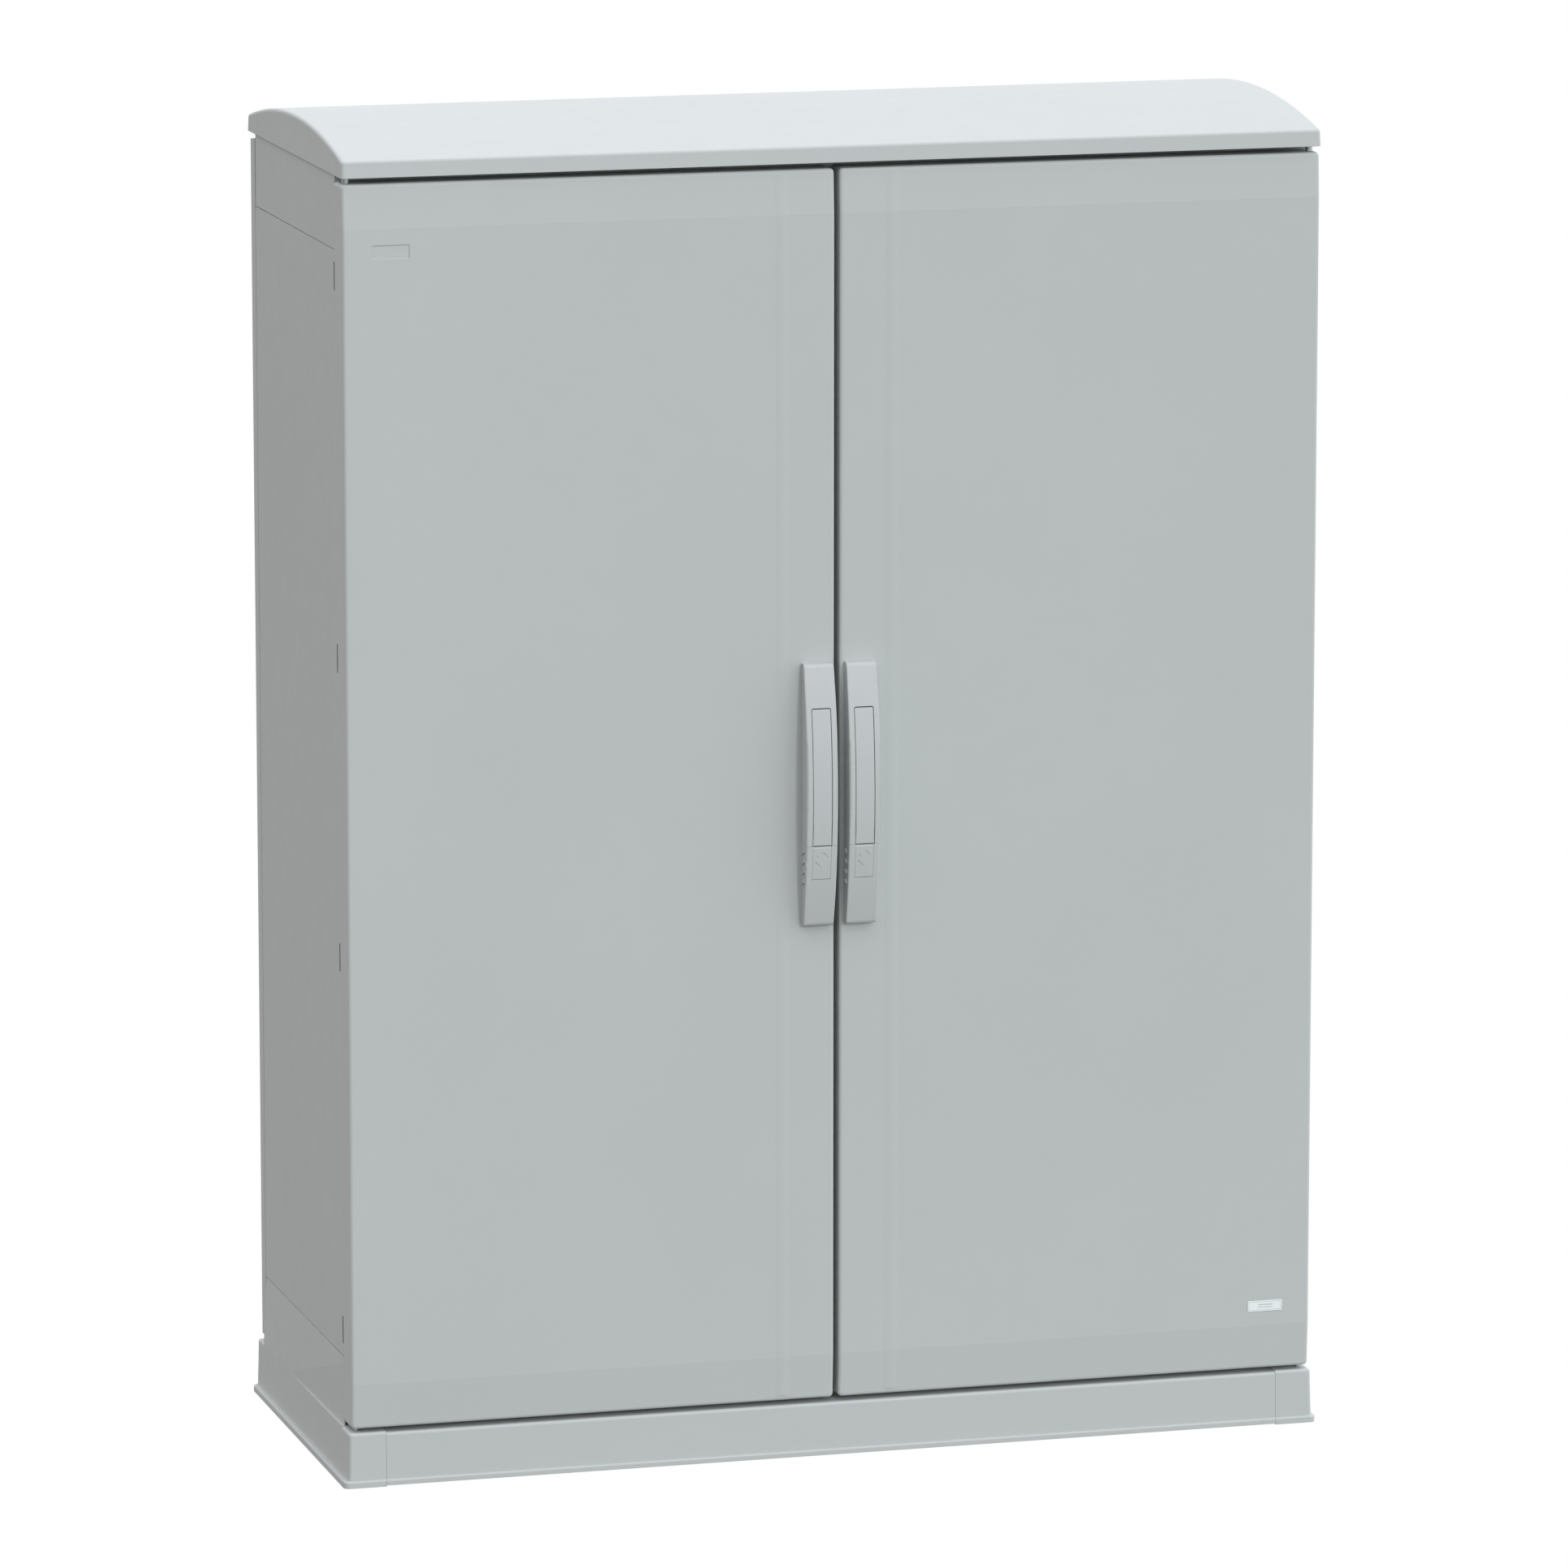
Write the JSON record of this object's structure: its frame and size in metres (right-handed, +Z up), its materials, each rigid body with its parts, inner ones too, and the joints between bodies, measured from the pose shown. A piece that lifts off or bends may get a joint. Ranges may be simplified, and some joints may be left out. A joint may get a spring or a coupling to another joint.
{
  "type": "switchboard cabinet",
  "caption": "Floor-standing moulded polyester switchboard cabinet with side-by-side doors, bowed swing handles, arched rain canopy and a low plinth.",
  "frame": {"origin": "centre of the four floor anchor holes, on the floor", "axes": "+Z up, +X to the right seen from the front, the doors face -Y"},
  "size_m": [1.0186, 0.4465, 1.351],
  "materials": {
    "grp_grey": "matt moulded polyester, light grey",
    "handle_plastic": "fine matt polyamide, light grey",
    "dark_plastic": "matt dark polyamide",
    "bush_plastic": "natural polyamide",
    "rubber": "soft black sealing rubber",
    "steel_fasteners": "zinc-plated",
    "zinc_steel": "zinc-plated sheet and bar",
    "mounting_plate_steel": "galvanised sheet",
    "zinc_diecast": "satin die-cast",
    "label_white": "semi-gloss white"
  },
  "bodies": {
    "cabinet": {"plinth_left_end": "grp_grey", "plinth_right_end": "grp_grey", "plinth_front_cover": "grp_grey", "plinth_rear_cover": "grp_grey", "base_tray": "grp_grey", "left_side_panel": "grp_grey", "right_side_panel": "grp_grey", "roof_frame": "grp_grey", "rear_panel": "grp_grey", "rain_canopy": "grp_grey", "plinth_cover_screws": "steel_fasteners", "gland_plate_screws": "steel_fasteners", "rear_panel_screws": "steel_fasteners", "canopy_screws": "steel_fasteners", "centre_post_screws": "steel_fasteners", "hinge_bracket_screws": "steel_fasteners", "mounting_plate_bolts": "steel_fasteners", "hinge_brackets": "zinc_steel", "hinge_pins": "zinc_steel", "rod_keepers": "zinc_steel", "centre_post": "zinc_steel", "gland_plate": "zinc_steel", "gland_plate_gasket": "rubber", "side_panel_clips": "dark_plastic", "mounting_plate": "mounting_plate_steel", "mounting_plate_spacers": "dark_plastic"},
    "left_door": {"left_door_shell": "grp_grey", "left_door_gasket": "rubber", "left_door_bushes": "bush_plastic", "left_handle_housing": "handle_plastic", "left_handle_lower_cap": "handle_plastic", "left_handle_screws": "steel_fasteners", "left_lock_case": "zinc_diecast", "left_rod_guides": "dark_plastic", "left_lever_pin": "zinc_steel"},
    "left_lever": {"left_lever": "handle_plastic"},
    "left_lock_flap": {"left_lock_flap": "handle_plastic"},
    "left_lock_insert": {"left_lock_insert": "zinc_diecast"},
    "left_top_rod": {"left_top_rod": "zinc_steel"},
    "left_bottom_rod": {"left_bottom_rod": "zinc_steel"},
    "right_door": {"right_door_shell": "grp_grey", "right_door_gasket": "rubber", "right_door_bushes": "bush_plastic", "right_handle_housing": "handle_plastic", "right_handle_lower_cap": "handle_plastic", "right_handle_screws": "steel_fasteners", "right_lock_case": "zinc_diecast", "right_rod_guides": "dark_plastic", "right_lever_pin": "zinc_steel", "label_plate": "label_white"},
    "right_lever": {"right_lever": "handle_plastic"},
    "right_lock_flap": {"right_lock_flap": "handle_plastic"},
    "right_lock_insert": {"right_lock_insert": "zinc_diecast"},
    "right_top_rod": {"right_top_rod": "zinc_steel"},
    "right_bottom_rod": {"right_bottom_rod": "zinc_steel"}
  },
  "joints": [
    {"name": "left_door_hinge", "type": "hinge", "parent": "cabinet", "child": "left_door", "pos_m": [-0.494, -0.194, 0.6835], "axis": [0, 0, -1], "range_deg": [0, 120]},
    {"name": "left_lever_swing", "type": "hinge", "parent": "left_door", "child": "left_lever", "pos_m": [-0.022, -0.225, 0.7623], "axis": [-1, 0, 0], "range_deg": [0, 60]},
    {"name": "left_top_rod_slide", "type": "slide", "parent": "left_door", "child": "left_top_rod", "axis": [0, 0, -1], "range_m": [0, 0.02]},
    {"name": "left_bottom_rod_slide", "type": "slide", "parent": "left_door", "child": "left_bottom_rod", "axis": [0, 0, 1], "range_m": [0, 0.02]},
    {"name": "left_flap_swing", "type": "hinge", "parent": "left_door", "child": "left_lock_flap", "pos_m": [-0.022, -0.2311, 0.6289], "axis": [-1, 0, 0], "range_deg": [0, 90]},
    {"name": "left_lock_turn", "type": "hinge", "parent": "left_door", "child": "left_lock_insert", "pos_m": [-0.022, -0.209, 0.611], "axis": [0, 1, 0], "range_deg": [0, 90]},
    {"name": "right_door_hinge", "type": "hinge", "parent": "cabinet", "child": "right_door", "pos_m": [0.494, -0.194, 0.6835], "axis": [0, 0, 1], "range_deg": [0, 120]},
    {"name": "right_lever_swing", "type": "hinge", "parent": "right_door", "child": "right_lever", "pos_m": [0.022, -0.225, 0.7623], "axis": [-1, 0, 0], "range_deg": [0, 60]},
    {"name": "right_top_rod_slide", "type": "slide", "parent": "right_door", "child": "right_top_rod", "axis": [0, 0, -1], "range_m": [0, 0.02]},
    {"name": "right_bottom_rod_slide", "type": "slide", "parent": "right_door", "child": "right_bottom_rod", "axis": [0, 0, 1], "range_m": [0, 0.02]},
    {"name": "right_flap_swing", "type": "hinge", "parent": "right_door", "child": "right_lock_flap", "pos_m": [0.022, -0.2311, 0.6289], "axis": [-1, 0, 0], "range_deg": [0, 90]},
    {"name": "right_lock_turn", "type": "hinge", "parent": "right_door", "child": "right_lock_insert", "pos_m": [0.022, -0.209, 0.611], "axis": [0, -1, 0], "range_deg": [0, 90]}
  ],
  "couplings": [
    {"joint": "left_top_rod_slide", "follows": "left_lever_swing", "m_per_rad": 0.019},
    {"joint": "left_bottom_rod_slide", "follows": "left_lever_swing", "m_per_rad": 0.019},
    {"joint": "right_top_rod_slide", "follows": "right_lever_swing", "m_per_rad": 0.019},
    {"joint": "right_bottom_rod_slide", "follows": "right_lever_swing", "m_per_rad": 0.019}
  ]
}
